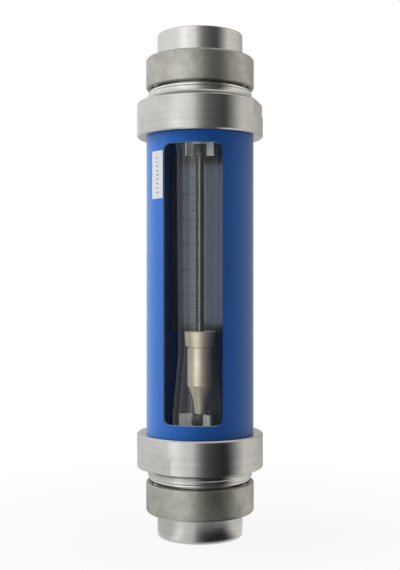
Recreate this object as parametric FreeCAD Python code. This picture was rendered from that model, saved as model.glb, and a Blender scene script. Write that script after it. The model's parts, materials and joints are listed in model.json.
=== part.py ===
"""Glass-tube rotameter in a windowed protective tube, with a union joint at each end.

Units are millimetres. The flow axis is +Z, the origin is the centre of the lower end face,
and the front window faces -Y. Every piece is one node in parts/.
"""

import FreeCAD, Part
import math
import os
from FreeCAD import Vector

# ---------------------------------------------------------------- driving dimensions

# protective tube
TUBE_RADIUS = 38.05
TUBE_WALL = 3.0
TUBE_FREE_LENGTH = 208.8
FRONT_WINDOW_WIDTH = 40.7
FRONT_WINDOW_TOP_MARGIN = 7.8
FRONT_WINDOW_BOTTOM_MARGIN = 9.0
REAR_WINDOW_WIDTH = 39.4
REAR_WINDOW_TOP_MARGIN = 13.8
REAR_WINDOW_ABOVE_FLOAT_TOP = 3.0
WINDOW_CORNER = 5.0
PANE_THICKNESS = 1.5
PANE_LAP = 5.0
BOND_GAP = 0.05
TUBE_GASKET = 1.0

# turned head, from the tube outwards
HEAD_WALL = 6.7
HEAD_EDGE = 1.0
HEAD_DRUM_LENGTH = 24.2
SHOULDER_EDGE = 0.8
SHOULDER_LAND = 1.15
COLLAR_STEP = 1.2
COLLAR_LAND = 0.5
NECK_STEP = 1.7
NECK_EDGE = 0.9
NECK_LENGTH = 2.3
RELIEF_DEPTH = 1.4
RELIEF_WIDTH = 2.6
NECK_THREAD_LENGTH = 7.1
THREAD_CHAMFER = 1.2
HEAD_BORE_RADIUS = 15.5
HEAD_MOUTH_STEP = 1.0
HEAD_MOUTH_LENGTH = 12.0
FLAT_DEPTH = 2.75
FLAT_LENGTH = 10.7
UPPER_FLAT_TURN = 84.0
LOWER_FLAT_TURN = -38.0

# seals of the measuring glass
SOCKET_DEPTH = 6.0
SOCKET_CLEARANCE = 0.05
PACKING_WIDTH = 5.6
PACKING_HEIGHT = 5.0
GLAND_HEIGHT = 5.5
GLAND_POCKET = 8.0
GLAND_SLOT_WIDTH = 4.0
GLAND_SLOT_DEPTH = 2.0
GLAND_SLOTS = 4
GLASS_SEAT_DEPTH = 8.0
GLASS_END_CLEARANCE = 0.5
END_WASHER = 1.0

# measuring glass
GLASS_END_RADIUS = 19.4
GLASS_WALL = 4.0
GLASS_THROAT_RADIUS = 15.3
GLASS_TOP_RADIUS = 16.5
LOWER_CUFF = 30.4
LOWER_FLARE = 45.0
UPPER_CUFF = 15.4
UPPER_FLARE = 11.0
FLARE_ROUNDING = 24.0

# guide rod and its holders
ROD_RADIUS = 2.8
SPIGOT_STEP = 0.3
SPIGOT_EDGE = 0.6
SPIGOT_PAST_NUT = 2.0
GUIDE_FLANGE = 2.0
GUIDE_RADIAL_CLEARANCE = 0.2
HUB_RADIUS = 6.0
HUB_OVERHANG = 4.4
HUB_LENGTH = 12.0
BLADE_COUNT = 3
BLADE_THICKNESS = 1.8
BLADE_OVERHANG = 8.5
BLADE_CLEARANCE = 0.9
BLADE_FOOT_CLEARANCE = 0.5
BLADE_STEP = 6.0
UPPER_BLADE_TURN = 8.6
LOWER_BLADE_TURN = -21.4
ROD_NUT_HEIGHT = 4.0
ROD_NUT_FLATS = 8.0
STOP_WALL = 2.55
STOP_LENGTH = 8.7
STOP_EDGE = 0.6
STOP_BORE_CLEARANCE = 0.05

# float
FLOAT_LENGTH = 58.3
FLOAT_CLEARANCE = 0.3
FLOAT_HEAD_HEIGHT = 10.4
FLOAT_HEAD_TAPER = 0.7
FLOAT_GROOVE_DEPTH = 0.8
FLOAT_GROOVE_WIDTH = 1.4
FLOAT_BODY_STEP = 2.0
FLOAT_BODY_LENGTH = 38.5
FLOAT_TIP_WALL = 0.6
FLOAT_EDGE = 0.7
FLOAT_CONE_SAG = 1.1
FLOAT_BORE_CLEARANCE = 0.3

# union joint, from the pipe thread outwards
PIPE_THREAD_MINOR_RADIUS = 22.42
PIPE_THREAD_DEPTH = 20.0
PIPE_COUNTERSINK = 1.6
CONNECTOR_WALL = 7.83
CONNECTOR_BORE = 20.0
CONNECTOR_COLLAR_STEP = 2.15
CONNECTOR_COLLAR = 5.6
CONNECTOR_PROJECTION = 16.95
CONNECTOR_EDGE = 1.0
COLLAR_CLEARANCE = 1.6
GASKET_THICKNESS = 2.0
GASKET_INSET = 1.4
NUT_WALL = 4.3
NUT_LIP = 5.6
NUT_GAP = 1.5
NUT_LIP_CLEARANCE = 0.35
NUT_THREAD_CLEARANCE = 0.08
NUT_THREAD_CHAMFER = 1.3
NUT_UNDERCUT_DEPTH = 0.7
NUT_UNDERCUT_WIDTH = 2.0
NUT_INNER_ROUNDING = 1.2
NUT_OUTER_ROUNDING = 2.0

# label on the tube
LABEL_WIDTH = 12.1
LABEL_HEIGHT = 32.7
LABEL_DROP = 4.5
LABEL_MARGIN = 0.5
LABEL_THICKNESS = 0.15

# ---------------------------------------------------------------- derived radii

TUBE_BORE = TUBE_RADIUS - TUBE_WALL
CONNECTOR_RADIUS = PIPE_THREAD_MINOR_RADIUS + CONNECTOR_WALL
CONNECTOR_COLLAR_RADIUS = CONNECTOR_RADIUS + CONNECTOR_COLLAR_STEP
NECK_THREAD_RADIUS = CONNECTOR_COLLAR_RADIUS + COLLAR_CLEARANCE
NECK_RADIUS = NECK_THREAD_RADIUS + NECK_STEP
COLLAR_RADIUS = NECK_RADIUS + COLLAR_STEP
HEAD_RADIUS = TUBE_RADIUS + HEAD_WALL
COVE_RADIUS = HEAD_RADIUS - SHOULDER_EDGE - SHOULDER_LAND - COLLAR_RADIUS
NUT_RADIUS = NECK_THREAD_RADIUS + NUT_WALL
GLASS_SEAT_RADIUS = GLASS_END_RADIUS + GLASS_END_CLEARANCE
GLASS_END_BORE = GLASS_END_RADIUS - GLASS_WALL
GLAND_RADIUS = GLASS_END_RADIUS + PACKING_WIDTH
BLADE_FOOT = GLASS_END_BORE - BLADE_FOOT_CLEARANCE
UPPER_BLADE_TIP = GLASS_TOP_RADIUS - GLASS_WALL - BLADE_CLEARANCE
SPIGOT_RADIUS = ROD_RADIUS - SPIGOT_STEP
FLOAT_BORE = ROD_RADIUS + FLOAT_BORE_CLEARANCE
FLOAT_HEAD_RADIUS = GLASS_THROAT_RADIUS - GLASS_WALL - FLOAT_CLEARANCE
FLOAT_BODY_RADIUS = FLOAT_HEAD_RADIUS - FLOAT_BODY_STEP

# ---------------------------------------------------------------- derived heights

# Heights are measured from the middle of the tube. The lower end mirrors the upper one.
HEAD_FACE = TUBE_FREE_LENGTH / 2
SOCKET_FLOOR = HEAD_FACE + SOCKET_DEPTH
TUBE_END = SOCKET_FLOOR - TUBE_GASKET
POCKET_FLOOR = SOCKET_FLOOR + GLAND_POCKET
GUIDE_SEAT = POCKET_FLOOR + GLASS_SEAT_DEPTH
GLASS_END = GUIDE_SEAT - GUIDE_FLANGE - END_WASHER
SHOULDER = HEAD_FACE + HEAD_DRUM_LENGTH
COLLAR_END = SHOULDER + COVE_RADIUS + COLLAR_LAND
NECK_END = COLLAR_END + NECK_LENGTH
HEAD_END = NECK_END + RELIEF_WIDTH + NECK_THREAD_LENGTH
COLLAR_FACE = HEAD_END + GASKET_THICKNESS
LIP_FACE = COLLAR_FACE + CONNECTOR_COLLAR
NUT_START = NECK_END + NUT_GAP
NUT_END = LIP_FACE + NUT_LIP
HALF_LENGTH = NUT_END + CONNECTOR_PROJECTION
HUB_START = HEAD_FACE - HUB_OVERHANG
HUB_END = HUB_START + HUB_LENGTH
STOP_FACE = HUB_START - STOP_LENGTH
FLOAT_TOP = FLOAT_LENGTH - STOP_FACE
FRONT_WINDOW_TOP = HEAD_FACE - FRONT_WINDOW_TOP_MARGIN
FRONT_WINDOW_BOTTOM = FRONT_WINDOW_BOTTOM_MARGIN - HEAD_FACE
REAR_WINDOW_TOP = HEAD_FACE - REAR_WINDOW_TOP_MARGIN
REAR_WINDOW_BOTTOM = FLOAT_TOP + REAR_WINDOW_ABOVE_FLOAT_TOP

FRONT = Vector(0, -1, 0)
UP = Vector(0, 0, 1)
COINCIDENT = 1e-6
CUTTER_OVERRUN = 1.0


# ---------------------------------------------------------------- building blocks


def section(corners):
    """Closed half section in the XZ plane. A corner is (radius, height) or
    (radius, height, rounding), and a rounding is a tangent arc at that corner."""
    points = [Vector(c[0], 0, c[1]) for c in corners]
    arcs = []
    for i, corner in enumerate(corners):
        here = points[i]
        if len(corner) < 3:
            arcs.append((here, here, here))
            continue
        back = (points[i - 1] - here).normalize()
        ahead = (points[(i + 1) % len(points)] - here).normalize()
        half = back.getAngle(ahead) / 2
        start = here + back * (corner[2] / math.tan(half))
        end = here + ahead * (corner[2] / math.tan(half))
        inward = (back + ahead).normalize()
        middle = here + inward * (corner[2] / math.sin(half) - corner[2])
        arcs.append((start, middle, end))
    edges = []
    for i, (start, middle, end) in enumerate(arcs):
        if start.distanceToPoint(end) > COINCIDENT:
            edges.append(Part.Arc(start, middle, end).toShape())
        following = arcs[(i + 1) % len(arcs)][0]
        if end.distanceToPoint(following) > COINCIDENT:
            edges.append(Part.makeLine(end, following))
    return Part.Face(Part.Wire(edges))


def turned(corners):
    """Solid of revolution about the flow axis."""
    return section(corners).revolve(Vector(0, 0, 0), UP, 360)


def ring(inner, outer, start, end):
    return turned([(inner, start), (outer, start), (outer, end), (inner, end)])


def at_both_ends(shape):
    """The upper piece and its mirror image at the lower end."""
    return {"upper": shape, "lower": shape.mirror(Vector(0, 0, 0), UP)}


def window_cutter(width, bottom, top, towards):
    """Rounded-corner prism that a milling cutter sweeps through one wall of the tube."""
    reach = TUBE_RADIUS + CUTTER_OVERRUN
    block = Part.makeBox(width, reach, top - bottom, Vector(-width / 2, 0, bottom))
    corners = [e for e in block.Edges if e.BoundBox.YLength > reach - COINCIDENT]
    block = block.makeFillet(WINDOW_CORNER, corners)
    if towards.y < 0:
        block = block.mirror(Vector(0, 0, 0), Vector(0, 1, 0))
    return block


# ---------------------------------------------------------------- protective tube


def protective_tube():
    tube = ring(TUBE_BORE, TUBE_RADIUS, -TUBE_END, TUBE_END)
    front = window_cutter(FRONT_WINDOW_WIDTH, FRONT_WINDOW_BOTTOM, FRONT_WINDOW_TOP, FRONT)
    rear = window_cutter(REAR_WINDOW_WIDTH, REAR_WINDOW_BOTTOM, REAR_WINDOW_TOP, -FRONT)
    return tube.cut(front).cut(rear)


def rear_pane():
    """Curved translucent pane bonded inside the tube over the rear window."""
    outer = TUBE_BORE - BOND_GAP
    bottom = REAR_WINDOW_BOTTOM - PANE_LAP
    top = REAR_WINDOW_TOP + PANE_LAP
    sheet = ring(outer - PANE_THICKNESS, outer, bottom, top)
    width = REAR_WINDOW_WIDTH + 2 * PANE_LAP
    keep = Part.makeBox(width, TUBE_RADIUS, top - bottom, Vector(-width / 2, 0, bottom))
    return sheet.common(keep)


def blank_label():
    """Thin sticker beside the left edge of the front window."""
    edge = math.degrees(math.asin((FRONT_WINDOW_WIDTH / 2 + LABEL_MARGIN) / TUBE_RADIUS))
    sweep = math.degrees(LABEL_WIDTH / TUBE_RADIUS)
    top = FRONT_WINDOW_TOP - LABEL_DROP
    bottom = top - LABEL_HEIGHT
    outer = TUBE_RADIUS + LABEL_THICKNESS
    skin = section([(TUBE_RADIUS, bottom), (outer, bottom), (outer, top), (TUBE_RADIUS, top)])
    skin.rotate(Vector(0, 0, 0), UP, -90 - edge - sweep)
    return skin.revolve(Vector(0, 0, 0), UP, sweep)


def tube_gasket():
    return ring(TUBE_BORE, TUBE_RADIUS, TUBE_END, SOCKET_FLOOR)


# ---------------------------------------------------------------- head and glass seals


def head(flat_turn):
    """Turned head with its cove, threaded neck, stepped glass bore and two spanner flats."""
    thread_start = NECK_END + RELIEF_WIDTH
    relief = NECK_THREAD_RADIUS - RELIEF_DEPTH
    socket = TUBE_RADIUS + SOCKET_CLEARANCE
    body = turned(
        [
            (socket, HEAD_FACE),
            (HEAD_RADIUS - HEAD_EDGE, HEAD_FACE),
            (HEAD_RADIUS, HEAD_FACE + HEAD_EDGE),
            (HEAD_RADIUS, SHOULDER - SHOULDER_EDGE),
            (HEAD_RADIUS - SHOULDER_EDGE, SHOULDER),
            (COLLAR_RADIUS, SHOULDER, COVE_RADIUS),
            (COLLAR_RADIUS, COLLAR_END),
            (NECK_RADIUS, COLLAR_END + NECK_EDGE),
            (NECK_RADIUS, NECK_END - NECK_EDGE / 2),
            (NECK_RADIUS - NECK_EDGE / 2, NECK_END),
            (relief, NECK_END),
            (relief, thread_start),
            (NECK_THREAD_RADIUS, thread_start + RELIEF_DEPTH),
            (NECK_THREAD_RADIUS, HEAD_END - THREAD_CHAMFER),
            (NECK_THREAD_RADIUS - THREAD_CHAMFER, HEAD_END),
            (CONNECTOR_BORE - HEAD_MOUTH_STEP, HEAD_END),
            (HEAD_BORE_RADIUS, HEAD_END - HEAD_MOUTH_LENGTH),
            (HEAD_BORE_RADIUS, GUIDE_SEAT),
            (GLASS_SEAT_RADIUS, GUIDE_SEAT),
            (GLASS_SEAT_RADIUS, POCKET_FLOOR),
            (GLAND_RADIUS, POCKET_FLOOR),
            (GLAND_RADIUS, SOCKET_FLOOR),
            (socket, SOCKET_FLOOR),
        ]
    )
    flat = HEAD_RADIUS - FLAT_DEPTH
    for turn in (flat_turn, flat_turn + 180):
        block = Part.makeBox(2 * HEAD_RADIUS, 2 * FLAT_DEPTH, FLAT_LENGTH + CUTTER_OVERRUN)
        block.translate(Vector(-HEAD_RADIUS, -flat - 2 * FLAT_DEPTH, SHOULDER - FLAT_LENGTH))
        block.rotate(Vector(0, 0, 0), UP, turn)
        body = body.cut(block)
    return body


def glass_packing():
    return ring(GLASS_END_RADIUS, GLAND_RADIUS, POCKET_FLOOR - PACKING_HEIGHT, POCKET_FLOOR)


def gland_ring():
    """Screwed ring that squeezes the packing onto the glass, slotted for a pin spanner."""
    top = POCKET_FLOOR - PACKING_HEIGHT
    bottom = top - GLAND_HEIGHT
    body = ring(GLASS_SEAT_RADIUS, GLAND_RADIUS, bottom, top)
    for i in range(GLAND_SLOTS):
        slot = Part.makeBox(GLAND_SLOT_WIDTH, 2 * GLAND_RADIUS, GLAND_SLOT_DEPTH)
        slot.translate(Vector(-GLAND_SLOT_WIDTH / 2, 0, bottom))
        slot.rotate(Vector(0, 0, 0), UP, 45 + i * 360 / GLAND_SLOTS)
        body = body.cut(slot)
    return body


def end_washer():
    return ring(GLASS_END_BORE, GLASS_END_RADIUS, GLASS_END, GLASS_END + END_WASHER)


# ---------------------------------------------------------------- measuring glass


def measuring_glass():
    """Tapered glass: narrow at the throat, wider at the top of the scale, flared to each end."""
    lower_flare_end = LOWER_CUFF - GLASS_END
    upper_flare_end = GLASS_END - UPPER_CUFF
    outer = [
        (GLASS_END_RADIUS, -GLASS_END),
        (GLASS_END_RADIUS, lower_flare_end, FLARE_ROUNDING),
        (GLASS_THROAT_RADIUS, lower_flare_end + LOWER_FLARE, FLARE_ROUNDING),
        (GLASS_TOP_RADIUS, upper_flare_end - UPPER_FLARE, FLARE_ROUNDING),
        (GLASS_END_RADIUS, upper_flare_end, FLARE_ROUNDING),
        (GLASS_END_RADIUS, GLASS_END),
    ]
    bore = [(p[0] - GLASS_WALL,) + p[1:] for p in reversed(outer)]
    return turned(outer + bore)


# ---------------------------------------------------------------- rod, holders and float


def rod_guide(turn, tip):
    """Star holder: a flange under the glass, three blades reaching in, and the rod's hub."""
    blade_start = HUB_START - BLADE_OVERHANG
    flange_outer = GLASS_SEAT_RADIUS - GUIDE_RADIAL_CLEARANCE
    body = ring(BLADE_FOOT - BLADE_THICKNESS / 2, flange_outer, GUIDE_SEAT - GUIDE_FLANGE, GUIDE_SEAT)
    body = body.fuse(ring(SPIGOT_RADIUS, HUB_RADIUS, HUB_START, HUB_END))
    outline = [
        (HUB_RADIUS, blade_start),
        (tip, blade_start),
        (tip, HUB_END),
        (BLADE_FOOT, HUB_END + BLADE_STEP),
        (BLADE_FOOT, GUIDE_SEAT),
        (HUB_RADIUS + BLADE_THICKNESS, GUIDE_SEAT),
        (HUB_RADIUS + BLADE_THICKNESS, HUB_END),
        (HUB_RADIUS - BLADE_THICKNESS, HUB_END),
        (HUB_RADIUS - BLADE_THICKNESS, HUB_START),
        (HUB_RADIUS, HUB_START),
    ]
    for i in range(BLADE_COUNT):
        blade = section(outline).extrude(Vector(0, BLADE_THICKNESS, 0))
        blade.translate(Vector(0, -BLADE_THICKNESS / 2, 0))
        blade.rotate(Vector(0, 0, 0), UP, 90 + turn + i * 360 / BLADE_COUNT)
        body = body.fuse(blade)
    return body.removeSplitter()


def guide_rod():
    end = HUB_END + ROD_NUT_HEIGHT + SPIGOT_PAST_NUT
    return turned(
        [
            (0, -end),
            (SPIGOT_RADIUS - SPIGOT_EDGE, -end),
            (SPIGOT_RADIUS, SPIGOT_EDGE - end),
            (SPIGOT_RADIUS, -HUB_START),
            (ROD_RADIUS, -HUB_START),
            (ROD_RADIUS, HUB_START),
            (SPIGOT_RADIUS, HUB_START),
            (SPIGOT_RADIUS, end - SPIGOT_EDGE),
            (SPIGOT_RADIUS - SPIGOT_EDGE, end),
            (0, end),
        ]
    )


def rod_nut():
    """Hexagon nut on the rod's spigot, with its corners turned back at both faces."""
    reach = ROD_NUT_FLATS / math.sqrt(3)
    edge = reach - ROD_NUT_FLATS / 2
    top = HUB_END + ROD_NUT_HEIGHT
    angles = [math.radians(60 * i) for i in range(7)]
    points = [Vector(reach * math.cos(a), reach * math.sin(a), HUB_END) for a in angles]
    blank = Part.Face(Part.makePolygon(points)).extrude(UP * ROD_NUT_HEIGHT)
    rounding = turned(
        [
            (SPIGOT_RADIUS, HUB_END),
            (reach - edge, HUB_END),
            (reach, HUB_END + edge / 2),
            (reach, top - edge / 2),
            (reach - edge, top),
            (SPIGOT_RADIUS, top),
        ]
    )
    return blank.common(rounding)


def float_stop():
    """Plastic sleeve on the rod, between the hub and the end of the float's travel."""
    bore = ROD_RADIUS + STOP_BORE_CLEARANCE
    outer = bore + STOP_WALL
    return turned(
        [
            (bore, STOP_FACE),
            (outer - STOP_EDGE, STOP_FACE),
            (outer, STOP_FACE + STOP_EDGE),
            (outer, HUB_START),
            (bore, HUB_START),
        ]
    )


def float_body():
    """Float at the bottom of its travel: reading head, groove, barrel and hollow-sided cone."""
    head_end = FLOAT_TOP - FLOAT_HEAD_HEIGHT
    groove_end = head_end - FLOAT_GROOVE_WIDTH
    body_end = FLOAT_TOP - FLOAT_BODY_LENGTH
    groove = FLOAT_BODY_RADIUS - FLOAT_GROOVE_DEPTH
    cone_top = Vector(FLOAT_BODY_RADIUS - FLOAT_EDGE, 0, body_end - FLOAT_EDGE)
    cone_tip = Vector(FLOAT_BORE + FLOAT_TIP_WALL, 0, -STOP_FACE)
    side = cone_tip - cone_top
    sag = Vector(side.z, 0, -side.x).normalize() * FLOAT_CONE_SAG
    hollow = (cone_top + cone_tip) * 0.5 + sag
    corners = [
        cone_tip,
        Vector(FLOAT_BORE, 0, -STOP_FACE),
        Vector(FLOAT_BORE, 0, FLOAT_TOP),
        Vector(FLOAT_HEAD_RADIUS - FLOAT_EDGE / 2, 0, FLOAT_TOP),
        Vector(FLOAT_HEAD_RADIUS, 0, FLOAT_TOP - FLOAT_EDGE / 2),
        Vector(FLOAT_HEAD_RADIUS - FLOAT_HEAD_TAPER, 0, head_end),
        Vector(groove, 0, head_end),
        Vector(groove, 0, groove_end),
        Vector(FLOAT_BODY_RADIUS, 0, groove_end),
        Vector(FLOAT_BODY_RADIUS, 0, body_end),
        cone_top,
    ]
    edges = [Part.makeLine(a, b) for a, b in zip(corners, corners[1:])]
    edges.append(Part.Arc(cone_top, hollow, cone_tip).toShape())
    return Part.Face(Part.Wire(edges)).revolve(Vector(0, 0, 0), UP, 360)


# ---------------------------------------------------------------- union joint


def joint_gasket():
    outer = CONNECTOR_COLLAR_RADIUS - GASKET_INSET
    return ring(CONNECTOR_BORE, outer, HEAD_END, COLLAR_FACE)


def connector():
    """Insert held by the union nut, with a female pipe thread in its outer end."""
    thread_end = HALF_LENGTH - PIPE_THREAD_DEPTH
    return turned(
        [
            (CONNECTOR_BORE, COLLAR_FACE),
            (CONNECTOR_COLLAR_RADIUS, COLLAR_FACE),
            (CONNECTOR_COLLAR_RADIUS, LIP_FACE),
            (CONNECTOR_RADIUS, LIP_FACE),
            (CONNECTOR_RADIUS, HALF_LENGTH, CONNECTOR_EDGE),
            (PIPE_THREAD_MINOR_RADIUS + PIPE_COUNTERSINK, HALF_LENGTH),
            (PIPE_THREAD_MINOR_RADIUS, HALF_LENGTH - PIPE_COUNTERSINK),
            (PIPE_THREAD_MINOR_RADIUS, thread_end),
            (CONNECTOR_BORE, thread_end),
        ]
    )


def union_nut():
    """Round nut that screws onto the head's neck and pulls the connector's collar onto it."""
    bore = NECK_THREAD_RADIUS + NUT_THREAD_CLEARANCE
    lip_bore = CONNECTOR_RADIUS + NUT_LIP_CLEARANCE
    undercut = bore + NUT_UNDERCUT_DEPTH
    return turned(
        [
            (lip_bore, NUT_END),
            (lip_bore, LIP_FACE),
            (undercut, LIP_FACE),
            (undercut, LIP_FACE - NUT_UNDERCUT_WIDTH),
            (bore, LIP_FACE - NUT_UNDERCUT_WIDTH - NUT_UNDERCUT_DEPTH),
            (bore, NUT_START + NUT_THREAD_CHAMFER),
            (bore + NUT_THREAD_CHAMFER, NUT_START),
            (NUT_RADIUS, NUT_START, NUT_INNER_ROUNDING),
            (NUT_RADIUS, NUT_END, NUT_OUTER_ROUNDING),
        ]
    )


# ---------------------------------------------------------------- assembly


def pieces():
    """Every piece by its node name, in place about the tube's middle."""
    found = {
        "protective_tube": protective_tube(),
        "rear_pane": rear_pane(),
        "blank_label": blank_label(),
        "upper_head": head(UPPER_FLAT_TURN),
        "lower_head": head(LOWER_FLAT_TURN).mirror(Vector(0, 0, 0), UP),
        "upper_rod_guide": rod_guide(UPPER_BLADE_TURN, UPPER_BLADE_TIP),
        "lower_rod_guide": rod_guide(LOWER_BLADE_TURN, BLADE_FOOT).mirror(Vector(0, 0, 0), UP),
        "measuring_glass": measuring_glass(),
        "guide_rod": guide_rod(),
        "float": float_body(),
    }
    paired = {
        "tube_gasket": tube_gasket(),
        "glass_packing": glass_packing(),
        "gland_ring": gland_ring(),
        "end_washer": end_washer(),
        "rod_nut": rod_nut(),
        "float_stop": float_stop(),
        "joint_gasket": joint_gasket(),
        "connector": connector(),
        "union_nut": union_nut(),
    }
    for name, shape in paired.items():
        for end, copy in at_both_ends(shape).items():
            found[f"{end}_{name}"] = copy
    return found


def main():
    os.makedirs("parts", exist_ok=True)
    for name, shape in pieces().items():
        shape = shape.copy()
        shape.translate(Vector(0, 0, HALF_LENGTH))
        shape.exportStep(f"parts/{name}.step")


main()
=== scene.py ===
"""Finish, printed scale, pipe threads and studio for a glass-tube rotameter.

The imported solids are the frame. Everything here is in metres, with the flow axis on +Z and the
front window towards -Y. Turns are measured from the front towards +X.
"""

import json
import math

import bmesh
import bpy
from mathutils import Matrix, Vector


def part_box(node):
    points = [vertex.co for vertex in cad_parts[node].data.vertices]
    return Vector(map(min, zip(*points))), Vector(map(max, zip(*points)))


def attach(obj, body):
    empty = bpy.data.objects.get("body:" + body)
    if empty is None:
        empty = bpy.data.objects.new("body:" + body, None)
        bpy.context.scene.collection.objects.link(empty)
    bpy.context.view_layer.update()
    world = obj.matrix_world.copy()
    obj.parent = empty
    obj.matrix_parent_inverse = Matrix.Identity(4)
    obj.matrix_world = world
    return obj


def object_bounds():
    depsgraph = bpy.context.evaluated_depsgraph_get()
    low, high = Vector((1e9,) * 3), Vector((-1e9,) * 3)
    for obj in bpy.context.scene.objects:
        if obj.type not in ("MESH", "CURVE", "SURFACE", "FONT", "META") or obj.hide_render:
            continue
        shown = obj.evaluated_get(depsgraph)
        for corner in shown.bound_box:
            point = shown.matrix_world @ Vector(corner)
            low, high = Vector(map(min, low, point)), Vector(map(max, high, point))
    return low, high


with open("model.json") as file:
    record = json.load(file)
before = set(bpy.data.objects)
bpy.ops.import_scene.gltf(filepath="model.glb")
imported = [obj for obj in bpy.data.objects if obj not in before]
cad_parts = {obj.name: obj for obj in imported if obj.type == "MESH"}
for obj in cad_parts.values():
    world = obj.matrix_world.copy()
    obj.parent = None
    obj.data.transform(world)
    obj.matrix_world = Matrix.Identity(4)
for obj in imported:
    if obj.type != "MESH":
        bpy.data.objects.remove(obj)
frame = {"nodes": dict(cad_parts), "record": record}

bl_info = {
    "name": "Rotameter finish",
    "version": (1, 0, 0),
    "blender": (4, 5, 0),
    "location": "3D View > Sidebar > Rotameter",
    "description": "Finishes, printed scale, pipe threads and studio for a glass-tube rotameter",
    "category": "Object",
}

MM = 0.001
HOUSING = "housing"

CASE_LOW, CASE_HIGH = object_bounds()
MIDDLE = (CASE_LOW.z + CASE_HIGH.z) / 2
TUBE_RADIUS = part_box("protective_tube")[1].y

# ---------------------------------------------------------------- node trees


class Signal:
    """A socket of a node tree that is written in sums like a number."""

    def __init__(self, graph, socket):
        self.graph = graph
        self.socket = socket

    def maths(self, operation, *values, clamp=False):
        """Math node of this graph; values are numbers or signals."""
        settings = {"operation": operation, "use_clamp": clamp}
        return self.graph.node("ShaderNodeMath", settings, dict(enumerate(values)))

    def __add__(self, other):
        return self.maths("ADD", self, other)

    def __radd__(self, other):
        return self.maths("ADD", other, self)

    def __sub__(self, other):
        return self.maths("SUBTRACT", self, other)

    def __rsub__(self, other):
        return self.maths("SUBTRACT", other, self)

    def __mul__(self, other):
        return self.maths("MULTIPLY", self, other)

    def __rmul__(self, other):
        return self.maths("MULTIPLY", other, self)

    def __truediv__(self, other):
        return self.maths("DIVIDE", self, other)

    def __pow__(self, exponent):
        return self.maths("POWER", self, exponent)

    def __gt__(self, edge):
        return self.maths("GREATER_THAN", self, edge)

    def __lt__(self, edge):
        return self.maths("LESS_THAN", self, edge)

    def between(self, low, high):
        """0 at low and under, 1 at high and over, and a straight rise from one to the other."""
        return self.maths("MULTIPLY_ADD", self, 1 / (high - low), -low / (high - low), clamp=True)

    def within(self, low, high):
        """1 between the two and 0 elsewhere."""
        return (self > low) * (self < high)

    def clamped(self):
        """Held between 0 and 1."""
        return self.maths("ADD", self, 0.0, clamp=True)

    def output(self, name):
        """Another output of the same node."""
        return Signal(self.graph, self.socket.node.outputs[name])


class Graph:
    """A node tree that is filled one call a node."""

    def __init__(self, tree):
        self.tree = tree

    def node(self, kind, settings=None, inputs=None, output=0):
        """New node with its settings and inputs, as the signal of one of its outputs."""
        node = self.tree.nodes.new(kind)
        for name, value in (settings or {}).items():
            if name == "stops":
                self.fill_ramp(node.color_ramp, value)
            else:
                setattr(node, name, value)
        for name, value in (inputs or {}).items():
            self.feed(node.inputs[name], value)
        return Signal(self, node.outputs[output])

    def feed(self, socket, value):
        """Links a signal to an input, or sets the input to a value."""
        if isinstance(value, Signal):
            self.tree.links.new(value.socket, socket)
        else:
            socket.default_value = value

    @staticmethod
    def fill_ramp(ramp, stops):
        """Gives a colour ramp these stops, each a position and a colour."""
        while len(ramp.elements) < len(stops):
            ramp.elements.new(1.0)
        for element, (position, value) in zip(ramp.elements, stops):
            element.position = position
            element.color = value

    def split(self, vector):
        """The three parts of a vector."""
        parts = self.node("ShaderNodeSeparateXYZ", inputs={"Vector": vector})
        return parts, parts.output("Y"), parts.output("Z")

    def join(self, x, y, z):
        """The vector of three parts."""
        return self.node("ShaderNodeCombineXYZ", inputs={"X": x, "Y": y, "Z": z})

    def blend(self, share, low, high):
        """Colour between low and high."""
        settings = {"data_type": "RGBA"}
        inputs = {"Factor": share, 6: low, 7: high}
        return self.node("ShaderNodeMix", settings, inputs, output=2)


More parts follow.
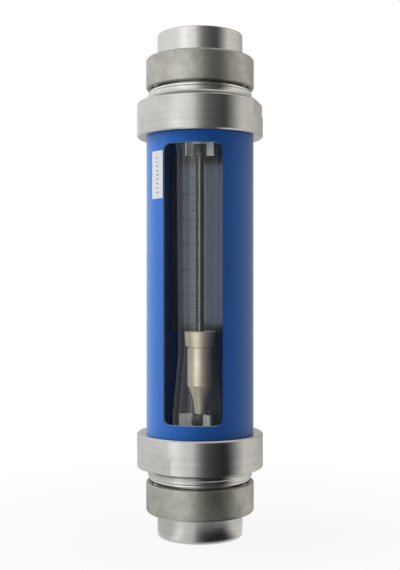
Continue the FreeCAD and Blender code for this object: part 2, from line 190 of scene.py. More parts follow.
class Finish(Graph):
    """A material with one Principled shader, and the places on a turned part."""

    def __init__(self, name, constants):
        self.material = bpy.data.materials.new(name)
        self.material.use_nodes = True
        super().__init__(self.material.node_tree)
        self.shader = self.tree.nodes["Principled BSDF"]
        self.sheet = self.tree.nodes["Material Output"]
        for socket, value in constants.items():
            self.shader.inputs[socket].default_value = value

    def set(self, socket, value):
        """Feeds an input of the Principled shader."""
        self.feed(self.shader.inputs[socket], value)

    def lit(self):
        """The Principled shader's output."""
        return Signal(self, self.shader.outputs["BSDF"])

    def show(self, shader):
        """Makes the shader the material's surface."""
        self.feed(self.sheet.inputs["Surface"], shader)

    def show_mix(self, share, first, second):
        """Makes a mix of two shaders the material's surface."""
        self.show(self.node("ShaderNodeMixShader", inputs={0: share, 1: first, 2: second}))

    def place(self):
        """Place on the object, in metres."""
        return self.node("ShaderNodeTexCoord", output="Object")

    def around(self):
        """Distance from the flow axis, turn from the front in radians, and height."""
        x, y, z = self.split(self.place())
        radius = (x * x + y * y) ** 0.5
        turn = x.maths("ARCTAN2", x, y * -1.0)
        return radius, turn, z

    def noise(self, scale, detail=2.0, where=None, rough=0.5):
        """Soft noise with this many cells a metre, from 0 to 1."""
        inputs = {"Vector": where or self.place(), "Scale": scale, "Detail": detail}
        inputs["Roughness"] = rough
        return self.node("ShaderNodeTexNoise", inputs=inputs)

    def pits(self, scale, size, share):
        """1 in small round spots, on this share of the cells of a grid that fine."""
        inputs = {"Vector": self.place(), "Scale": scale, "Randomness": 1.0}
        cells = self.node("ShaderNodeTexVoronoi", {"feature": "F1"}, inputs)
        chosen, _, _ = self.split(cells.output("Color"))
        return (1.0 - cells.between(size * 0.4, size)) * (chosen < share)

    def edges(self, radius):
        """Normal that is rounded at sharp edges, and 1 along such edges and 0 elsewhere."""
        soft = self.node("ShaderNodeBevel", {"samples": 6}, {"Radius": radius})
        sharp = self.node("ShaderNodeNewGeometry", output="Normal")
        settings = {"operation": "DOT_PRODUCT"}
        alike = self.node("ShaderNodeVectorMath", settings, {0: soft, 1: sharp}, output="Value")
        return soft, (1.0 - alike).between(0.02, 0.25)

    def bump(self, height, distance, strength=1.0, normal=None):
        """Normal of a relief that is this deep where the height is 1."""
        inputs = {"Height": height, "Distance": distance, "Strength": strength}
        if normal is not None:
            inputs["Normal"] = normal
        return self.node("ShaderNodeBump", inputs=inputs)


def colour(value):
    """Red, green and blue with full alpha."""
    return (*tuple(value)[:3], 1.0)


def shaded(value, share):
    """A colour made darker or lighter."""
    return [min(1.0, channel * share) for channel in value]


# ---------------------------------------------------------------- finishes

# Radii between which the necks of the heads lie, each with the run over which their painted
# highlight fades, and how much brighter than the rest the painted highlight makes them.
NECK_INNER = (0.0300, 0.0315)
NECK_OUTER = (0.0355, 0.0375)
NECK_PAINTED_HIGHLIGHT = 1.45
# How far under the tube's outer radius the outside paint ends and where it is full.
PAINT_DEPTHS = (0.45 * MM, 0.15 * MM)
# Rows that the label's height is divided into, and the part of a row that its mark covers.
LABEL_ROWS = 11.0
LABEL_BAR = (0.30, 0.62)
# Where the marks lie, as shares of the label's width and height, and how far they end apart.
LABEL_COLUMN = (0.42, 0.50)
LABEL_RAGGED = 0.22
LABEL_MARGINS = (0.10, 0.90)
# Step between rows in the noise that sets the marks' ends.
ROW_STEP = 3.7


def turned_metal(name, bright, roughness, line_depth, pit_share=0.0, metallic=1.0):
    """Metal off the lathe: fine rings about the axis, soft stains, a few pits and clean edges.

    The necks have a painted highlight. The depth of the lathe lines is in millimetres.
    """
    f = Finish(name, {"Metallic": metallic})
    radius, _, z = f.around()
    along = f.join(radius, 0.0, z)
    rings = f.noise(scale=2600.0, detail=3.0, where=along)
    bands = f.noise(scale=260.0, detail=3.0, where=along)
    stain = f.noise(scale=34.0, detail=4.0, rough=0.6).between(0.42, 0.74)
    pits = f.pits(scale=150.0, size=0.14, share=pit_share)
    soft, edge = f.edges(0.35 * MM)
    shade = (stain * 0.40 + bands.between(0.3, 0.7) * 0.35 + pits * 0.8).clamped()
    metal = f.blend(shade, colour(bright), colour(shaded(bright, 0.62)))
    # Painted highlight: the necks' colour is raised to stand in for the bright floor they
    # reflect.
    neck_highlight_mask = radius.between(*NECK_INNER) * (1.0 - radius.between(*NECK_OUTER))
    metal = f.blend(neck_highlight_mask, metal, colour(shaded(bright, NECK_PAINTED_HIGHLIGHT)))
    f.set("Base Color", f.blend(edge * 0.5, metal, colour(shaded(bright, 1.25))))
    f.set("Roughness", roughness * (0.8 + rings * 0.3 + stain * 0.4) + pits * 0.2)
    lines = f.bump(rings, line_depth * MM, normal=soft)
    f.set("Normal", f.bump(1.0 - pits, 0.12 * MM, normal=lines))
    return f.material


def blue_paint(settings):
    """Semi-gloss enamel with a faint orange peel, worn edges, a pale sheen and a dark inside."""
    constants = {
        "Specular IOR Level": 0.22,
        "Sheen Weight": 0.70,
        "Sheen Roughness": 0.50,
        "Sheen Tint": (0.70, 0.95, 1.0, 1.0),
    }
    f = Finish("blue_paint", constants)
    cloud = f.noise(scale=22.0, detail=3.0)
    peel = f.noise(scale=900.0, detail=2.0)
    speck = f.pits(scale=240.0, size=0.10, share=0.05)
    soft, edge = f.edges(0.5 * MM)
    deep, full = colour(shaded(settings.paint, 0.86)), colour(settings.paint)
    paint = f.blend(cloud.between(0.25, 0.75), deep, full)
    worn = edge * f.noise(scale=180.0, detail=4.0).between(0.45, 0.65)
    radius, _, _ = f.around()
    outside = radius.between(*(TUBE_RADIUS - depth for depth in PAINT_DEPTHS))
    paint = f.blend(outside, colour(settings.inside), paint)
    f.set("Base Color", f.blend(worn * outside * 0.35, paint, (0.10, 0.22, 0.55, 1.0)))
    f.set("Roughness", 0.34 + cloud * 0.12 + speck * 0.2)
    f.set("Normal", f.bump(peel, 0.03 * MM, strength=0.6, normal=soft))
    return f.material


def dull_metal(settings):
    """Blasted, plated nut: even grain, darker mottling and small dents."""
    f = Finish("dull_metal", {"Metallic": 1.0})
    grain = f.noise(scale=1500.0, detail=3.0, rough=0.65)
    mottle = f.noise(scale=120.0, detail=4.0, rough=0.65)
    dents = f.pits(scale=170.0, size=0.16, share=0.12)
    soft, edge = f.edges(0.5 * MM)
    shade = (mottle.between(0.3, 0.75) * 0.55 + grain * 0.5 + dents * 0.6).clamped()
    pale, dark = colour(shaded(settings.nut, 1.06)), colour(shaded(settings.nut, 0.48))
    metal = f.blend(shade, pale, dark)
    f.set("Base Color", f.blend(edge * 0.6, metal, colour(shaded(settings.nut, 1.3))))
    f.set("Roughness", 0.27 + grain * 0.14 + mottle * 0.12)
    rough = f.bump(grain, 0.06 * MM, normal=soft)
    f.set("Normal", f.bump(1.0 - dents, 0.15 * MM, normal=rough))
    return f.material


def clear_glass():
    """Clear tube with a thin film on it, which shines more where its wall is seen edge on."""
    f = Finish("clear_glass", {"Metallic": 0.4, "Base Color": (0.80, 0.79, 0.76, 1.0)})
    film = f.noise(scale=60.0, detail=3.0).between(0.5, 0.8)
    f.set("Roughness", 0.02 + film * 0.05)
    slant = f.node("ShaderNodeLayerWeight", inputs={"Blend": 0.5}, output="Facing")
    shine = 0.036 + slant ** 5.0 * 0.25
    clear = f.node("ShaderNodeBsdfTransparent", inputs={"Color": (0.96, 0.975, 0.97, 1.0)})
    f.show_mix(shine + film * 0.01, clear, f.lit())
    return f.material


def grey_pane(settings):
    """Smoked sheet that lets soft light through."""
    f = Finish("grey_pane", {"Roughness": 0.42})
    cloud = f.noise(scale=45.0, detail=3.0)
    dark, pale = colour(shaded(settings.pane, 0.88)), colour(shaded(settings.pane, 1.1))
    f.set("Base Color", f.blend(cloud, dark, pale))
    f.set("Normal", f.bump(f.noise(scale=1300.0), 0.02 * MM))
    glow = f.node("ShaderNodeBsdfTranslucent", inputs={"Color": colour(settings.pane)})
    f.show_mix(0.7, f.lit(), glow)
    return f.material


def label_paper():
    """White film with plain ruled marks down its middle."""
    f = Finish("label_paper", {})
    low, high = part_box("blank_label")
    _, turn, z = f.around()
    across = turn.between(*label_turns())
    up = z.between(low.z, high.z)
    rows = up * LABEL_ROWS
    bar = rows.maths("FRACT", rows).within(*LABEL_BAR)
    row = f.join(rows.maths("FLOOR", rows) * ROW_STEP, 0.0, 0.0)
    reach = f.noise(scale=1.0, detail=0.0, where=row)
    left, right = LABEL_COLUMN
    column = across.within(left, right + reach * LABEL_RAGGED)
    ink = bar * column * up.within(*LABEL_MARGINS)
    wear = f.noise(scale=300.0, detail=3.0)
    paper = f.blend(wear, (0.66, 0.68, 0.70, 1.0), (0.74, 0.76, 0.77, 1.0))
    f.set("Base Color", f.blend(ink * 0.75, paper, (0.16, 0.17, 0.18, 1.0)))
    f.set("Roughness", 0.45 + wear * 0.15)
    return f.material


def label_turns():
    """Turn of the label's two upright edges, in radians from the front."""
    low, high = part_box("blank_label")
    left = math.atan2(low.x, -high.y)
    right = math.atan2(high.x, -low.y)
    return left, right


def rubber():
    """Black rubber of the packings, washers and gaskets."""
    f = Finish("seal_rubber", {})
    grain = f.noise(scale=700.0, detail=3.0)
    f.set("Base Color", f.blend(grain, (0.018, 0.018, 0.018, 1.0), (0.035, 0.034, 0.033, 1.0)))
    f.set("Roughness", 0.62 + grain * 0.2)
    f.set("Normal", f.bump(grain, 0.03 * MM))
    return f.material


def stop_sleeve():
    """Dark, half shiny sleeve of the float stops."""
    f = Finish("stop_plastic", {"Metallic": 0.85})
    grain = f.noise(scale=500.0, detail=3.0)
    f.set("Base Color", f.blend(grain, (0.20, 0.18, 0.15, 1.0), (0.30, 0.27, 0.22, 1.0)))
    f.set("Roughness", 0.18 + grain * 0.12)
    f.set("Normal", f.bump(grain, 0.02 * MM))
    return f.material


def scale_ink():
    """Black print, slightly worn."""
    f = Finish("scale_ink", {})
    wear = f.noise(scale=900.0, detail=3.0)
    f.set("Base Color", f.blend(wear, (0.010, 0.011, 0.013, 1.0), (0.035, 0.037, 0.042, 1.0)))
    f.set("Roughness", 0.40 + wear * 0.2)
    return f.material


# ---------------------------------------------------------------- settings


def number(name, description, default, low, high, **more):
    """Setting between two limits."""
    return bpy.props.FloatProperty(
        name=name, description=description, default=default, min=low, max=high, **more
    )


def whole(name, description, default, low):
    """Setting that is a whole number."""
    return bpy.props.IntProperty(name=name, description=description, default=default, min=low)


def angle(name, description, default):
    """Setting in radians, up to half a turn each way."""
    half = math.pi
    return number(name, description, default, -half, half, subtype="ANGLE", unit="ROTATION")


def power(name, description, default):
    """Setting in watts."""
    return number(name, description, default, 0.0, 200.0, unit="POWER")


def length(name, description, default, low=0.0, high=1.0):
    """Setting in metres."""
    return number(name, description, default, low, high, subtype="DISTANCE", unit="LENGTH")


def tint(name, description, default):
    """Setting that is a colour."""
    return bpy.props.FloatVectorProperty(
        name=name, description=description, default=default, min=0.0, max=1.0, subtype="COLOR"
    )


class RotameterFinishSettings(bpy.types.PropertyGroup):
    """Colours of the finishes"""

    paint: tint("Paint", "Enamel of the protective tube", (0.008, 0.135, 0.590))
    inside: tint("Inside of tube", "Thin dark paint inside the tube", (0.05, 0.105, 0.26))
    steel: tint("Turned steel", "Heads and connectors", (0.50, 0.49, 0.47))
    nut: tint("Nut", "Blasted union nuts", (0.46, 0.45, 0.405))
    rod: tint("Rod", "Guide rod", (0.24, 0.23, 0.21))
    guide: tint("Guides", "Rod guides, gland rings and rod nuts", (0.74, 0.73, 0.70))
    float: tint("Float", "Turned float", (0.90, 0.78, 0.61))
    pane: tint("Pane", "Smoked sheet over the rear window", (0.30, 0.325, 0.375))


class RotameterScaleSettings(bpy.types.PropertyGroup):
    """Printed scale of the glass"""

    first: length("First mark", "Height of the lowest wide mark", MIDDLE - 0.0065)
    spacing: length("Spacing", "Distance between marks", 0.00583)
    count: whole("Marks", "Number of wide marks", 15, 1)
    long_every: whole("Long mark every", "Marks from one long mark to the next", 3, 1)
    fine_spacing: length("Fine spacing", "Distance between marks under the first", 0.00245)
    fine_count: whole("Fine marks", "Number of marks under the first", 7, 0)
    short: length("Short mark", "Length of a short mark", 0.0060)
    long: length("Long mark", "Length of a long mark", 0.0100)
    edge: angle("Edge", "Turn of the marks' right ends from the front", 0.02)
    line: length("Line", "Thickness of a printed line", 0.00028)
    ink: length("Ink", "Thickness of the ink", 0.00006)
    figure: length("Figure", "Height of the printed figures", 0.0030)
    figure_turn: angle("Figure turn", "Turn of the figures from the front", -0.85)
    figure_step: whole("Figure step", "Difference between two figures", 100, 1)


class RotameterThreadSettings(bpy.types.PropertyGroup):
    """Pipe threads in the connectors"""

    bore: length("Bore", "Radius at the ridge's foot", 0.02257)
    pitch: length("Pitch", "Rise of one turn", 0.002309)
    lead: length("Lead", "Depth of the first turn under the end face", 0.0022)
    depth: length("Depth", "Height of the whole thread", 0.0155)
    ridge_depth: length("Ridge", "Height of the ridge", 0.00085)


class RotameterStudioSettings(bpy.types.PropertyGroup):
    """Camera and lights"""

    turn: angle("Camera turn", "Camera from the front towards +X", math.radians(8.6))
    distance: length("Camera distance", "From the flow axis", 0.677)
    lens: number("Lens", "Focal length in millimetres", 60.0, 10.0, 300.0)
    key: power("Key light", "Power of the large light on the left", 15.0)
    front: power("Front light", "Power of the light left of the camera", 1.2)
    fill: power("Fill light", "Power of the light on the right", 0.7)
    back: power("Back light", "Power of the light behind", 7.0)
    top: power("Top light", "Power of the light above", 3.5)
    window: power("Window light", "Power of the light on the float", 22.0)
    ambient: number("Ambient", "Level of the surrounding light", 0.14, 0.0, 2.0)
    surround: number("Surround", "Level of the walls that the metal reflects", 1.40, 0.0, 4.0)


# ---------------------------------------------------------------- geometry


def new_tree(name, inputs):
    """Geometry node tree with these named inputs and one geometry output."""
    made = bpy.data.node_groups.new(name, "GeometryNodeTree")
    face = made.interface
    face.new_socket(name="Geometry", in_out="OUTPUT", socket_type="NodeSocketGeometry")
    for label, kind in inputs.items():
        face.new_socket(name=label, in_out="INPUT", socket_type="NodeSocket" + kind)
    graph = Graph(made)
    source = made.nodes.new("NodeGroupInput")
    return graph, {label: Signal(graph, source.outputs[label]) for label in inputs}


def end_tree(graph, geometry, material):
    """Turns instances into faces, gives them the material and feeds the tree's output."""
    real = graph.node("GeometryNodeRealizeInstances", inputs={"Geometry": geometry})
    inputs = {"Geometry": real, "Material": material}
    done = graph.node("GeometryNodeSetMaterial", inputs=inputs)
    sheet = graph.tree.nodes.new("NodeGroupOutput")
    graph.tree.links.new(done.socket, sheet.inputs["Geometry"])


def plain_mesh(holder):
    """What an object shows after its modifiers, as a new mesh."""
    bpy.context.view_layer.update()
    evaluated = holder.evaluated_get(bpy.context.evaluated_depsgraph_get())
    return bpy.data.meshes.new_from_object(evaluated)


def grown(name, graph, values, material):
    """The tree's result with these input values, as a plain mesh object."""
    holder = bpy.data.objects.new(name, bpy.data.meshes.new(name))
    bpy.context.scene.collection.objects.link(holder)
    modifier = holder.modifiers.new("grow", "NODES")
    modifier.node_group = graph.tree
    for item in graph.tree.interface.items_tree:
        if item.in_out == "INPUT":
            modifier[item.identifier] = values[item.name]
    mesh = plain_mesh(holder)
    holder.modifiers.clear()
    holder.data = mesh
    mesh.name = name
    mesh.materials.clear()
    mesh.materials.append(material)
    return holder


def tidy_mesh(mesh):
    """Doubles merged and faces turned outwards."""
    shell = bmesh.new()
    shell.from_mesh(mesh)
    bmesh.ops.remove_doubles(shell, verts=shell.verts, dist=0.0001 * MM)
    bmesh.ops.recalc_face_normals(shell, faces=shell.faces)
    shell.to_mesh(mesh)
    shell.free()


# Heights over the middle between which the taper of the glass is measured.
TAPER_RUN = (-0.03, 0.07)


def glass_radius(z):
    """Outer radius of the glass's tapered run at a height, from its own mesh."""
    rings = {}
    for vertex in frame["nodes"]["measuring_glass"].data.vertices:
        height = round(vertex.co.z, 5)
        reach = math.hypot(vertex.co.x, vertex.co.y)
        rings[height] = max(rings.get(height, 0.0), reach)
    low = max(h for h in rings if h <= z)
    high = min(h for h in rings if h >= z)
    if high == low:
        return rings[low]
    share = (z - low) / (high - low)
    return rings[low] + (rings[high] - rings[low]) * share


def marks_tree(material):
    """Marks stacked up the glass, each nth one long, with their right ends in line."""
    inputs = dict.fromkeys(
        ("First", "Spacing", "Short", "Long", "Line", "Ink", "Radius", "Taper", "Datum", "Edge"),
        "Float",
    )
    inputs.update({"Count": "Int", "Every": "Int"})
    g, given = new_tree("scale_marks", inputs)
    start = g.join(0.0, 0.0, given["First"])
    step = g.join(0.0, 0.0, given["Spacing"])
    points = g.node(
        "GeometryNodeMeshLine",
        {"mode": "OFFSET"},
        {"Count": given["Count"], "Start Location": start, "Offset": step},
    )
    # A bar one metre long, cut across so that it can bend with the glass.
    size = g.join(1.0, given["Ink"], given["Line"])
    bar = g.node("GeometryNodeMeshCube", inputs={"Size": size, "Vertices X": 9})
    flush = g.node("GeometryNodeTransform", inputs={"Geometry": bar, "Translation": (-0.5, 0, 0)})
    index = g.node("GeometryNodeInputIndex")
    is_long = index.maths("MODULO", index, given["Every"]) < 0.5
    reach = given["Short"] + (given["Long"] - given["Short"]) * is_long
    placed = g.node(
        "GeometryNodeInstanceOnPoints",
        inputs={"Points": points, "Instance": flush, "Scale": g.join(reach, 1.0, 1.0)},
    )
    flat = g.node("GeometryNodeRealizeInstances", inputs={"Geometry": placed})
    x, y, z = g.split(g.node("GeometryNodeInputPosition"))
    radius = given["Radius"] + given["Taper"] * (z - given["Datum"]) - y
    turn = given["Edge"] + x / radius
    across = radius * turn.maths("SINE", turn)
    ahead = radius * turn.maths("COSINE", turn) * -1.0
    bent = g.node(
        "GeometryNodeSetPosition", inputs={"Geometry": flat, "Position": g.join(across, ahead, z)}
    )
    end_tree(g, bent, material)
    return g


def glass_taper():
    """Outer radius of the glass at the middle, and its growth with height."""
    low, high = (MIDDLE + rise for rise in TAPER_RUN)
    growth = (glass_radius(high) - glass_radius(low)) / (high - low)
    return glass_radius(low) + growth * (MIDDLE - low), growth


def print_figure(text, size, turn, height, ink, material):
    """Figure that reads up the glass, as a mesh bent round it."""
    curve = bpy.data.curves.new(f"figure_{text}", "FONT")
    curve.body = text
    curve.size = size
    curve.extrude = ink / 2
    curve.align_x = "CENTER"
    curve.align_y = "CENTER"
    holder = bpy.data.objects.new(f"figure_{text}", curve)
    bpy.context.scene.collection.objects.link(holder)
    mesh = plain_mesh(holder)
    bpy.data.objects.remove(holder)
    radius, growth = glass_taper()
    for vertex in mesh.vertices:
        along, up, out = vertex.co
        z = height + along
        reach = radius + growth * (z - MIDDLE) + ink / 2 + out
        vertex.co = around_axis(turn - up / reach, reach, z)
    mesh.materials.clear()
    mesh.materials.append(material)
    made = bpy.data.objects.new(f"figure_{text}", mesh)
    bpy.context.scene.collection.objects.link(made)
    tidy_mesh(mesh)
    return made


THREAD_STEPS = 64
# Half width of the ridge's foot, as a share of the pitch.
THREAD_FOOT = 0.42
# Width of the ridge's crest, as a share of its foot.
THREAD_CREST = 0.25


def thread_tree(material):
    """Ridge wound round the axis, rising by one pitch a turn."""
    inputs = dict.fromkeys(("Radius", "Height", "Turns", "Depth", "Half width"), "Float")
    g, given = new_tree("thread_ridge", inputs)
    spiral = g.node(
        "GeometryNodeCurveSpiral",
        inputs={
            "Resolution": THREAD_STEPS,
            "Rotations": given["Turns"],
            "Start Radius": given["Radius"],
            "End Radius": given["Radius"],
            "Height": given["Height"],
        },
    )
    upright = g.node("GeometryNodeSetCurveNormal", {"mode": "Z_UP"}, {"Curve": spiral})
    foot = given["Half width"]
    crest = foot * THREAD_CREST
    corners = {
        "Point 1": g.join(0.0, foot, 0.0),
        "Point 2": g.join(given["Depth"], crest, 0.0),
        "Point 3": g.join(given["Depth"], crest * -1.0, 0.0),
        "Point 4": g.join(0.0, foot * -1.0, 0.0),
    }
    outline = g.node("GeometryNodeCurvePrimitiveQuadrilateral", {"mode": "POINTS"}, corners)
    ridge = g.node(
        "GeometryNodeCurveToMesh",
        inputs={"Curve": upright, "Profile Curve": outline, "Fill Caps": True},
    )
    end_tree(g, ridge, material)
    return g


# ---------------------------------------------------------------- operators


def assign(node, material):
    """The material on every slot of a CAD node."""
    mesh = frame["nodes"][node].data
    mesh.materials.clear()
    mesh.materials.append(material)


class ROTAMETER_OT_finishes(bpy.types.Operator):
    """Gives every solid its metal, paint, glass or seal finish"""

    bl_idname = "rotameter.finishes"
    bl_label = "Finishes"

    def execute(self, context):
        s = context.scene.rotameter_finish
        satin = turned_metal("satin_steel", s.guide, 0.45, 0.01, metallic=0.5)
        finishes = {
            "blue_paint": blue_paint(s),
            "turned_steel": turned_metal("turned_steel", s.steel, 0.19, 0.018, pit_share=0.05),
            "dull_steel": dull_metal(s),
            "polished_steel": turned_metal("polished_steel", s.rod, 0.16, 0.008),
            "float_steel": turned_metal("float_steel", s.float, 0.48, 0.02, metallic=0.8),
            "clear_glass": clear_glass(),
            "grey_pane": grey_pane(s),
            "label_paper": label_paper(),
            "seal_rubber": rubber(),
            "stop_plastic": stop_sleeve(),
        }
        for part in frame["record"]["subparts"]:
            assign(part["node"], finishes[part["material_slot"]])
        for end in ("upper", "lower"):
            for piece in ("rod_guide", "gland_ring", "rod_nut"):
                assign(f"{end}_{piece}", satin)
        return {"FINISHED"}


def settle(piece):
    """A finished piece that stays with the housing."""
    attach(piece, HOUSING)


class ROTAMETER_OT_marks(bpy.types.Operator):
    """Prints the wide and the fine marks of the scale on the glass"""

    bl_idname = "rotameter.marks"
    bl_label = "Scale marks"

    def execute(self, context):
        s = context.scene.rotameter_scale
        ink = scale_ink()
        radius, growth = glass_taper()
        graph = marks_tree(ink)
        shared = {
            "Short": s.short, "Line": s.line, "Ink": s.ink, "Radius": radius + s.ink / 2,
            "Taper": growth, "Datum": MIDDLE, "Edge": s.edge,
        }
        wide = {"First": s.first, "Spacing": s.spacing, "Long": s.long, "Count": s.count,
                "Every": s.long_every}
        fine = {"First": s.first - s.fine_spacing * (s.fine_count + 1), "Long": s.short,
                "Spacing": s.fine_spacing, "Count": s.fine_count, "Every": 1}
        for name, values in {"scale_marks": wide, "fine_marks": fine}.items():
            marks = grown(name, graph, {**shared, **values}, ink)
            tidy_mesh(marks.data)
            settle(marks)
        return {"FINISHED"}


class ROTAMETER_OT_figures(bpy.types.Operator):
    """Prints a figure beside each long mark"""

    bl_idname = "rotameter.figures"
    bl_label = "Scale figures"

    def execute(self, context):
        s = context.scene.rotameter_scale
        ink = bpy.data.materials["scale_ink"]
        for i in range(0, s.count, s.long_every):
            text = str(s.figure_step * (i // s.long_every + 1))
            height = s.first + i * s.spacing
            figure = print_figure(text, s.figure, s.figure_turn, height, s.ink, ink)
            settle(figure)
        return {"FINISHED"}


class ROTAMETER_OT_threads(bpy.types.Operator):
    """Winds the pipe thread into the bore of each connector"""

    bl_idname = "rotameter.threads"
    bl_label = "Pipe threads"

    def execute(self, context):
        s = context.scene.rotameter_thread
        steel = bpy.data.materials["turned_steel"]
        graph = thread_tree(steel)
        values = {"Radius": s.bore, "Height": s.depth, "Turns": s.depth / s.pitch,
                  "Depth": s.ridge_depth, "Half width": s.pitch * THREAD_FOOT}
        starts = {"inlet": CASE_LOW.z + s.lead, "outlet": CASE_HIGH.z - s.lead - s.depth}
        for name, start in starts.items():
            ridge = grown(f"{name}_thread", graph, values, steel)
            ridge.data.transform(Matrix.Translation((0, 0, start)))
            tidy_mesh(ridge.data)
            settle(ridge)
        return {"FINISHED"}


class ROTAMETER_OT_studio(bpy.types.Operator):
    """Sets the pale floor, the white surroundings, the lights and the camera"""

    bl_idname = "rotameter.studio"
    bl_label = "Studio"

    def execute(self, context):
        s = context.scene.rotameter_studio
        set_surroundings(context.scene, s)
        set_floor()
        set_surround(s)
        set_lights(s)
        set_camera(context.scene, s)
        context.scene.view_settings.view_transform = "Standard"
        return {"FINISHED"}


def backdrop_share(graph):
    """1 for the rays that should see the white background."""
    rays = graph.node("ShaderNodeLightPath", output="Is Camera Ray")
    seen = rays + rays.output("Is Glossy Ray") + rays.output("Is Transmission Ray")
    return seen.maths("MINIMUM", seen, 1.0)


def set_surroundings(scene, s):
    """World that is white to the camera and in reflections, and a soft light otherwise."""
    world = bpy.data.worlds.new("studio_white")
    world.use_nodes = True
    scene.world = world
    g = Graph(world.node_tree)
    share = backdrop_share(g)
    level = share * (1.0 - s.ambient) + s.ambient
    sheet = world.node_tree.nodes["Background"]
    sheet.inputs["Color"].default_value = (1.0, 1.0, 1.0, 1.0)
    world.node_tree.links.new(level.socket, sheet.inputs["Strength"])


def plate(name, corners, faces, material):
    """Sheet of the studio, which isn't part of the object."""
    mesh = bpy.data.meshes.new(name)
    mesh.from_pydata(corners, [], faces)
    mesh.materials.append(material)
    made = bpy.data.objects.new(name, mesh)
    bpy.context.scene.collection.objects.link(made)
    return made


# How far the floor, and the lit rings over it, lie under the object.
FLOOR_DROP = 0.0004
RING_DROP = 0.0002
FLOOR_REACH = 6.0
# Radii over which the ground near the object passes into the rest, and the share of the white
# that it keeps near the object.
NEAR_GROUND = (0.08, 0.30)
NEAR_WHITE = 0.91


def set_floor():
    """Pale floor that fades into the white surroundings and keeps a soft shadow."""
    constants = {
        "Base Color": (0.55, 0.55, 0.55, 1.0),
        "Roughness": 0.9,
        "Specular IOR Level": 0.0,
    }
    f = Finish("studio_floor", constants)
    radius, _, _ = f.around()
    white = f.node("ShaderNodeEmission", inputs={"Color": (1, 1, 1, 1), "Strength": 1.0})
    kept = NEAR_WHITE + (1.0 - NEAR_WHITE) * radius.between(*NEAR_GROUND)
    f.show_mix(backdrop_share(f) * kept, f.lit(), white)
    z, reach = CASE_LOW.z - FLOOR_DROP, FLOOR_REACH
    corners = [(-reach, -reach, z), (reach, -reach, z), (reach, reach, z), (-reach, reach, z)]
    plate("studio_floor", corners, [(0, 1, 2, 3)], f.material)


def around_axis(turn, distance, height):
    """Point at a turn from the front, seen from above, at a distance from the flow axis."""
    return Vector((distance * math.sin(turn), -distance * math.cos(turn), height))


def stand(made, turn, distance, height):
    """Puts a lamp or camera there, facing the middle of the object."""
    made.location = around_axis(turn, distance, height)
    aim = Vector((0, 0, MIDDLE)) - made.location
    made.rotation_euler = aim.to_track_quat("-Z", "Y").to_euler()


def softbox(name, watts, turn, distance, height, size):
    """Oblong light that faces the middle of the object and isn't seen itself."""
    lamp = bpy.data.lights.new(name, "AREA")
    lamp.shape = "RECTANGLE"
    lamp.size, lamp.size_y = size
    lamp.energy = watts
    made = bpy.data.objects.new(name, lamp)
    stand(made, turn, distance, height)
    made.visible_camera = False
    made.visible_glossy = False
    bpy.context.scene.collection.objects.link(made)
    return made


# Brightness of the walls by the turn right of the camera, in degrees.
WALL_LEVELS = (
    (-180, 0.45),
    (-150, 0.72),
    (-110, 0.90),
    (-60, 0.93),
    (-52, 1.12),
    (-42, 1.25),
    (-28, 1.02),
    (-14, 0.94),
    (-2, 0.40),
    (10, 0.16),
    (30, 0.09),
    (46, 0.05),
    (60, 0.28),
    (80, 0.80),
    (110, 0.70),
    (150, 0.40),
    (180, 0.45),
)
WALL_RADIUS = 1.3
WALL_TOP = 2.5
WALL_STEPS = 96
# Inner and outer radii of the rings on the floor that show the walls' brightness in the metal.
LIT_RINGS = ((0.036, 0.078), (0.092, WALL_RADIUS))
# Shares of the full round, 0.5 at the camera, between which the lighter right side begins.
RIGHT_SIDE = (0.62, 0.68)
# Degrees right of the camera past which the walls are warmer, and their blue there.
WARM_FROM = 70
WARM_BLUE = 0.93


def set_surround(s):
    """Walls of the studio, which show only in the shine of metal, paint and glass.

    They stand all round and are brighter on the left, dark right of the camera, and lighter again
    at the far right. Near the foot of the object they are dimmed.
    """
    f = Finish("studio_surround", {})
    radius, turn, z = f.around()
    from_camera = turn - s.turn
    wrapped = from_camera.maths("WRAP", from_camera, math.pi, -math.pi)
    strongest = max(level for _, level in WALL_LEVELS)
    stops = []
    for degrees, level in WALL_LEVELS:
        warm = WARM_BLUE if degrees > WARM_FROM else 1.0
        grey = level / strongest
        stops.append(((degrees + 180) / 360, (grey, grey * (1 + warm) / 2, grey * warm, 1.0)))
    share = wrapped.between(-math.pi, math.pi)
    wall = f.node("ShaderNodeValToRGB", {"stops": stops}, {"Fac": share})
    right = share.between(*RIGHT_SIDE)
    # The contrast is deeper away from the right side, most of all near the object's foot.
    faded = 0.4 * radius.between(0.1, 0.3) + 0.3 * z.between(0.0, 0.4)
    gamma = 1.0 + (1.0 - right) * (0.7 - faded)
    deeper = f.node("ShaderNodeGamma", inputs={"Color": wall, "Gamma": gamma})
    # The ground near the object is dimmer, and least so on the right side.
    near = 1.0 - radius.between(*NEAR_GROUND)
    dimmed = 1.0 + near * (right * 0.2 - 0.26)
    shown = f.node("ShaderNodeVectorMath", {"operation": "SCALE"}, {0: deeper, "Scale": dimmed})
    strength = s.surround * strongest
    glow = f.node("ShaderNodeEmission", inputs={"Color": shown, "Strength": strength})
    f.show(glow)
    f.material.cycles.emission_sampling = "NONE"
    walls = plate("studio_surround", *surround_shape(), f.material)
    for sight in ("camera", "diffuse", "transmission", "shadow", "volume_scatter"):
        setattr(walls, f"visible_{sight}", False)


def surround_shape():
    """Corners and faces of the lit rings and of the round wall."""
    base = CASE_LOW.z - RING_DROP
    sections = [((inner, base), (outer, base)) for inner, outer in LIT_RINGS]
    sections.append(((WALL_RADIUS, base), (WALL_RADIUS, WALL_TOP)))
    corners, faces = [], []
    for start, end in sections:
        first = len(corners)
        for i in range(WALL_STEPS):
            bearing = 2 * math.pi * i / WALL_STEPS
            corners += [around_axis(bearing, *start), around_axis(bearing, *end)]
        for i in range(WALL_STEPS):
            here, there = first + 2 * i, first + 2 * ((i + 1) % WALL_STEPS)
            faces.append((here, here + 1, there + 1, there))
    return corners, faces


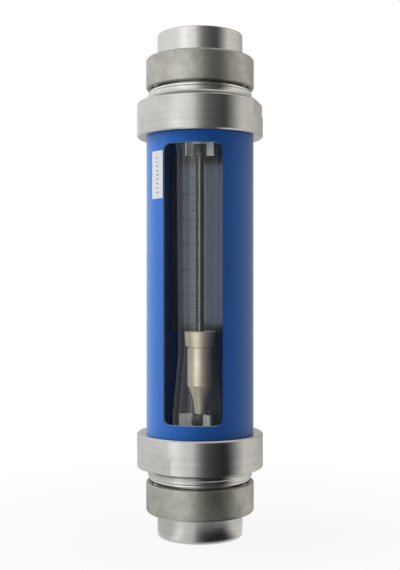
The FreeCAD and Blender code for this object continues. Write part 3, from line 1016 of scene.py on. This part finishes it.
# Lights by their setting: degrees right of the camera, distance, height, and width and length.
LIGHTS = {
    "key": (-85, 1.0, 0.85, (0.8, 1.7)),
    "front": (-35, 1.0, 0.30, (0.6, 1.1)),
    "fill": (95, 1.0, 0.30, (0.6, 1.0)),
    "back": (180, 1.0, 0.25, (0.8, 0.8)),
    "top": (0, 0.05, 1.3, (1.0, 1.0)),
    "window": (-82, 0.9, 0.15, (2.2, 1.4)),
}


def set_lights(s):
    """Soft lights round the object; the top light faces straight down."""
    for setting, (degrees, distance, height, size) in LIGHTS.items():
        bearing = s.turn + math.radians(degrees)
        lamp = softbox(f"{setting}_light", getattr(s, setting), bearing, distance, height, size)
        if setting == "top":
            lamp.rotation_euler = (0, 0, 0)
        elif setting == "window":
            light_float(lamp)


def light_float(lamp):
    """Keeps the light to the float, its guides and the glass, and lets them mirror it."""
    lamp.visible_glossy = True
    lit = bpy.data.collections.new("lit_through_window")
    for node in ("float", "measuring_glass", "upper_rod_guide", "lower_rod_guide"):
        lit.objects.link(frame["nodes"][node])
    lamp.light_linking.receiver_collection = lit
    lamp.light_linking.blocker_collection = lit


def set_camera(scene, s):
    """Camera level with the middle of the object."""
    view = bpy.data.cameras.new("camera")
    view.lens = s.lens
    view.sensor_width = 36.0
    made = bpy.data.objects.new("camera", view)
    stand(made, s.turn, s.distance, MIDDLE)
    scene.collection.objects.link(made)
    scene.camera = made


class ROTAMETER_PT_panel(bpy.types.Panel):
    """Lists the settings and the steps of the rotameter"""

    bl_label = "Rotameter"
    bl_idname = "ROTAMETER_PT_panel"
    bl_space_type = "VIEW_3D"
    bl_region_type = "UI"
    bl_category = "Rotameter"

    def draw(self, context):
        for group, operators in STEPS.items():
            box = self.layout.box()
            settings = getattr(context.scene, group)
            for name in settings.__annotations__:
                box.prop(settings, name)
            for operator in operators:
                box.operator(operator)


SETTINGS = {
    "rotameter_finish": RotameterFinishSettings,
    "rotameter_scale": RotameterScaleSettings,
    "rotameter_thread": RotameterThreadSettings,
    "rotameter_studio": RotameterStudioSettings,
}
STEPS = {
    "rotameter_finish": ("rotameter.finishes",),
    "rotameter_scale": ("rotameter.marks", "rotameter.figures"),
    "rotameter_thread": ("rotameter.threads",),
    "rotameter_studio": ("rotameter.studio",),
}
CLASSES = (
    *SETTINGS.values(),
    ROTAMETER_OT_finishes,
    ROTAMETER_OT_marks,
    ROTAMETER_OT_figures,
    ROTAMETER_OT_threads,
    ROTAMETER_OT_studio,
    ROTAMETER_PT_panel,
)


def register():
    """Registers the classes and hangs the settings on the scene."""
    for kind in CLASSES:
        bpy.utils.register_class(kind)
    for name, kind in SETTINGS.items():
        setattr(bpy.types.Scene, name, bpy.props.PointerProperty(type=kind))


def unregister():
    """Takes back what register() did."""
    for name in SETTINGS:
        delattr(bpy.types.Scene, name)
    for kind in reversed(CLASSES):
        bpy.utils.unregister_class(kind)


def main():
    """Builds everything on the frame."""
    register()
    bpy.ops.rotameter.finishes()
    bpy.ops.rotameter.marks()
    bpy.ops.rotameter.figures()
    bpy.ops.rotameter.threads()
    bpy.ops.rotameter.studio()


if __name__ == "__main__":
    main()
